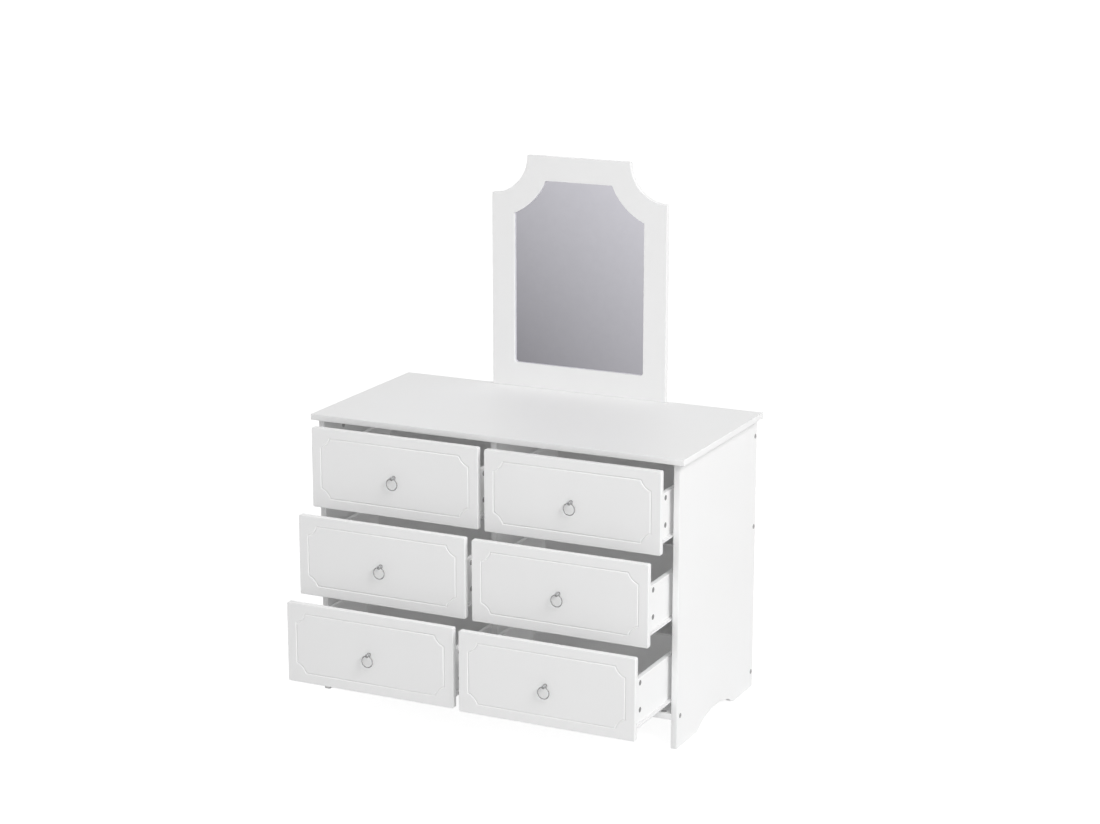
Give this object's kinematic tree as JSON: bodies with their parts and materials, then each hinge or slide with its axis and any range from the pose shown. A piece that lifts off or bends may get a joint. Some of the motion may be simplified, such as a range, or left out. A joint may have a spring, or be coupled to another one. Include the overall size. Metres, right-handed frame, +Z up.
{
  "type": "dresser with mirror",
  "caption": "Wide low dresser of white laminated board: drawers on roller runners with chrome ring pulls, and a mirror with scooped upper corners standing on its top.",
  "frame": {"origin": "on the floor, under the middle of the whole object with its drawers part-way open", "axes": "+Z up, -Y towards the person who opens the drawers, +X to that person's right"},
  "size_m": [1, 0.7114, 1.318],
  "materials": {
    "white_board": "white melamine foil, satin",
    "back_sheet": "thin hardboard, painted white",
    "mirror_silver": "silvered float glass, polished",
    "runner_steel": "white powder coat",
    "roller_nylon": "moulded white nylon",
    "chrome_plate": "polished chrome plate",
    "strap_steel": "white enamel"
  },
  "bodies": {
    "cabinet": {"top_panel": "white_board", "side_panel_left": "white_board", "side_panel_right": "white_board", "centre_divider": "white_board", "bottom_panel": "white_board", "back_rails": "white_board", "back_panel": "back_sheet", "cabinet_runners": "runner_steel", "mirror_frame": "white_board", "mirror_glass": "mirror_silver", "mirror_backing": "back_sheet", "mirror_straps": "strap_steel"},
    "drawer_top_left": {"front_top_left": "white_board", "box_top_left": "white_board", "bottom_top_left": "back_sheet", "runners_top_left": "runner_steel", "knob_top_left": "chrome_plate"},
    "ring_top_left": {"ring_top_left": "chrome_plate"},
    "front_rollers_top_left": {"front_rollers_top_left": "roller_nylon"},
    "rear_rollers_top_left": {"rear_rollers_top_left": "roller_nylon"},
    "drawer_top_right": {"front_top_right": "white_board", "box_top_right": "white_board", "bottom_top_right": "back_sheet", "runners_top_right": "runner_steel", "knob_top_right": "chrome_plate"},
    "ring_top_right": {"ring_top_right": "chrome_plate"},
    "front_rollers_top_right": {"front_rollers_top_right": "roller_nylon"},
    "rear_rollers_top_right": {"rear_rollers_top_right": "roller_nylon"},
    "drawer_middle_left": {"front_middle_left": "white_board", "box_middle_left": "white_board", "bottom_middle_left": "back_sheet", "runners_middle_left": "runner_steel", "knob_middle_left": "chrome_plate"},
    "ring_middle_left": {"ring_middle_left": "chrome_plate"},
    "front_rollers_middle_left": {"front_rollers_middle_left": "roller_nylon"},
    "rear_rollers_middle_left": {"rear_rollers_middle_left": "roller_nylon"},
    "drawer_middle_right": {"front_middle_right": "white_board", "box_middle_right": "white_board", "bottom_middle_right": "back_sheet", "runners_middle_right": "runner_steel", "knob_middle_right": "chrome_plate"},
    "ring_middle_right": {"ring_middle_right": "chrome_plate"},
    "front_rollers_middle_right": {"front_rollers_middle_right": "roller_nylon"},
    "rear_rollers_middle_right": {"rear_rollers_middle_right": "roller_nylon"},
    "drawer_bottom_left": {"front_bottom_left": "white_board", "box_bottom_left": "white_board", "bottom_bottom_left": "back_sheet", "runners_bottom_left": "runner_steel", "knob_bottom_left": "chrome_plate"},
    "ring_bottom_left": {"ring_bottom_left": "chrome_plate"},
    "front_rollers_bottom_left": {"front_rollers_bottom_left": "roller_nylon"},
    "rear_rollers_bottom_left": {"rear_rollers_bottom_left": "roller_nylon"},
    "drawer_bottom_right": {"front_bottom_right": "white_board", "box_bottom_right": "white_board", "bottom_bottom_right": "back_sheet", "runners_bottom_right": "runner_steel", "knob_bottom_right": "chrome_plate"},
    "ring_bottom_right": {"ring_bottom_right": "chrome_plate"},
    "front_rollers_bottom_right": {"front_rollers_bottom_right": "roller_nylon"},
    "rear_rollers_bottom_right": {"rear_rollers_bottom_right": "roller_nylon"}
  },
  "joints": [
    {"name": "slide_top_left", "type": "slide", "parent": "cabinet", "child": "drawer_top_left", "axis": [0, -1, 0], "range_m": [-0.065, 0.2]},
    {"name": "swing_top_left", "type": "hinge", "parent": "drawer_top_left", "child": "ring_top_left", "pos_m": [-0.23825, -0.20885, 0.599], "axis": [-1, 0, 0], "range_deg": [-18, 198]},
    {"name": "front_roll_top_left", "type": "hinge", "parent": "cabinet", "child": "front_rollers_top_left", "pos_m": [-0.23825, -0.10635, 0.51845], "axis": [1, 0, 0], "range_deg": [-441, 1351]},
    {"name": "rear_roll_top_left", "type": "hinge", "parent": "drawer_top_left", "child": "rear_rollers_top_left", "pos_m": [-0.23825, 0.15365, 0.51635], "axis": [1, 0, 0], "range_deg": [-441, 1351]},
    {"name": "slide_top_right", "type": "slide", "parent": "cabinet", "child": "drawer_top_right", "axis": [0, -1, 0], "range_m": [-0.07, 0.195]},
    {"name": "swing_top_right", "type": "hinge", "parent": "drawer_top_right", "child": "ring_top_right", "pos_m": [0.23825, -0.21385, 0.599], "axis": [-1, 0, 0], "range_deg": [-18, 198]},
    {"name": "front_roll_top_right", "type": "hinge", "parent": "cabinet", "child": "front_rollers_top_right", "pos_m": [0.23825, -0.10635, 0.51845], "axis": [1, 0, 0], "range_deg": [-474, 1317]},
    {"name": "rear_roll_top_right", "type": "hinge", "parent": "drawer_top_right", "child": "rear_rollers_top_right", "pos_m": [0.23825, 0.14865, 0.51635], "axis": [1, 0, 0], "range_deg": [-474, 1317]},
    {"name": "slide_middle_left", "type": "slide", "parent": "cabinet", "child": "drawer_middle_left", "axis": [0, -1, 0], "range_m": [-0.134, 0.131]},
    {"name": "swing_middle_left", "type": "hinge", "parent": "drawer_middle_left", "child": "ring_middle_left", "pos_m": [-0.23825, -0.27785, 0.3945], "axis": [-1, 0, 0], "range_deg": [-18, 198]},
    {"name": "front_roll_middle_left", "type": "hinge", "parent": "cabinet", "child": "front_rollers_middle_left", "pos_m": [-0.23825, -0.10635, 0.31395], "axis": [1, 0, 0], "range_deg": [-906, 886]},
    {"name": "rear_roll_middle_left", "type": "hinge", "parent": "drawer_middle_left", "child": "rear_rollers_middle_left", "pos_m": [-0.23825, 0.08465, 0.31185], "axis": [1, 0, 0], "range_deg": [-906, 886]},
    {"name": "slide_middle_right", "type": "slide", "parent": "cabinet", "child": "drawer_middle_right", "axis": [0, -1, 0], "range_m": [-0.137, 0.128]},
    {"name": "swing_middle_right", "type": "hinge", "parent": "drawer_middle_right", "child": "ring_middle_right", "pos_m": [0.23825, -0.28085, 0.3945], "axis": [-1, 0, 0], "range_deg": [-18, 198]},
    {"name": "front_roll_middle_right", "type": "hinge", "parent": "cabinet", "child": "front_rollers_middle_right", "pos_m": [0.23825, -0.10635, 0.31395], "axis": [1, 0, 0], "range_deg": [-926, 865]},
    {"name": "rear_roll_middle_right", "type": "hinge", "parent": "drawer_middle_right", "child": "rear_rollers_middle_right", "pos_m": [0.23825, 0.08165, 0.31185], "axis": [1, 0, 0], "range_deg": [-926, 865]},
    {"name": "slide_bottom_left", "type": "slide", "parent": "cabinet", "child": "drawer_bottom_left", "axis": [0, -1, 0], "range_m": [-0.198, 0.067]},
    {"name": "swing_bottom_left", "type": "hinge", "parent": "drawer_bottom_left", "child": "ring_bottom_left", "pos_m": [-0.23825, -0.34185, 0.19], "axis": [-1, 0, 0], "range_deg": [-18, 198]},
    {"name": "front_roll_bottom_left", "type": "hinge", "parent": "cabinet", "child": "front_rollers_bottom_left", "pos_m": [-0.23825, -0.10635, 0.10945], "axis": [1, 0, 0], "range_deg": [-1337, 454]},
    {"name": "rear_roll_bottom_left", "type": "hinge", "parent": "drawer_bottom_left", "child": "rear_rollers_bottom_left", "pos_m": [-0.23825, 0.02065, 0.10735], "axis": [1, 0, 0], "range_deg": [-1337, 454]},
    {"name": "slide_bottom_right", "type": "slide", "parent": "cabinet", "child": "drawer_bottom_right", "axis": [0, -1, 0], "range_m": [-0.207, 0.058]},
    {"name": "swing_bottom_right", "type": "hinge", "parent": "drawer_bottom_right", "child": "ring_bottom_right", "pos_m": [0.23825, -0.35085, 0.19], "axis": [-1, 0, 0], "range_deg": [-18, 198]},
    {"name": "front_roll_bottom_right", "type": "hinge", "parent": "cabinet", "child": "front_rollers_bottom_right", "pos_m": [0.23825, -0.10635, 0.10945], "axis": [1, 0, 0], "range_deg": [-1398, 393]},
    {"name": "rear_roll_bottom_right", "type": "hinge", "parent": "drawer_bottom_right", "child": "rear_rollers_bottom_right", "pos_m": [0.23825, 0.01165, 0.10735], "axis": [1, 0, 0], "range_deg": [-1398, 393]}
  ],
  "couplings": [
    {"joint": "front_roll_top_left", "follows": "slide_top_left", "rad_per_m": 117.65},
    {"joint": "rear_roll_top_left", "follows": "slide_top_left", "rad_per_m": 117.65},
    {"joint": "front_roll_top_right", "follows": "slide_top_right", "rad_per_m": 117.65},
    {"joint": "rear_roll_top_right", "follows": "slide_top_right", "rad_per_m": 117.65},
    {"joint": "front_roll_middle_left", "follows": "slide_middle_left", "rad_per_m": 117.65},
    {"joint": "rear_roll_middle_left", "follows": "slide_middle_left", "rad_per_m": 117.65},
    {"joint": "front_roll_middle_right", "follows": "slide_middle_right", "rad_per_m": 117.65},
    {"joint": "rear_roll_middle_right", "follows": "slide_middle_right", "rad_per_m": 117.65},
    {"joint": "front_roll_bottom_left", "follows": "slide_bottom_left", "rad_per_m": 117.65},
    {"joint": "rear_roll_bottom_left", "follows": "slide_bottom_left", "rad_per_m": 117.65},
    {"joint": "front_roll_bottom_right", "follows": "slide_bottom_right", "rad_per_m": 117.65},
    {"joint": "rear_roll_bottom_right", "follows": "slide_bottom_right", "rad_per_m": 117.65}
  ]
}
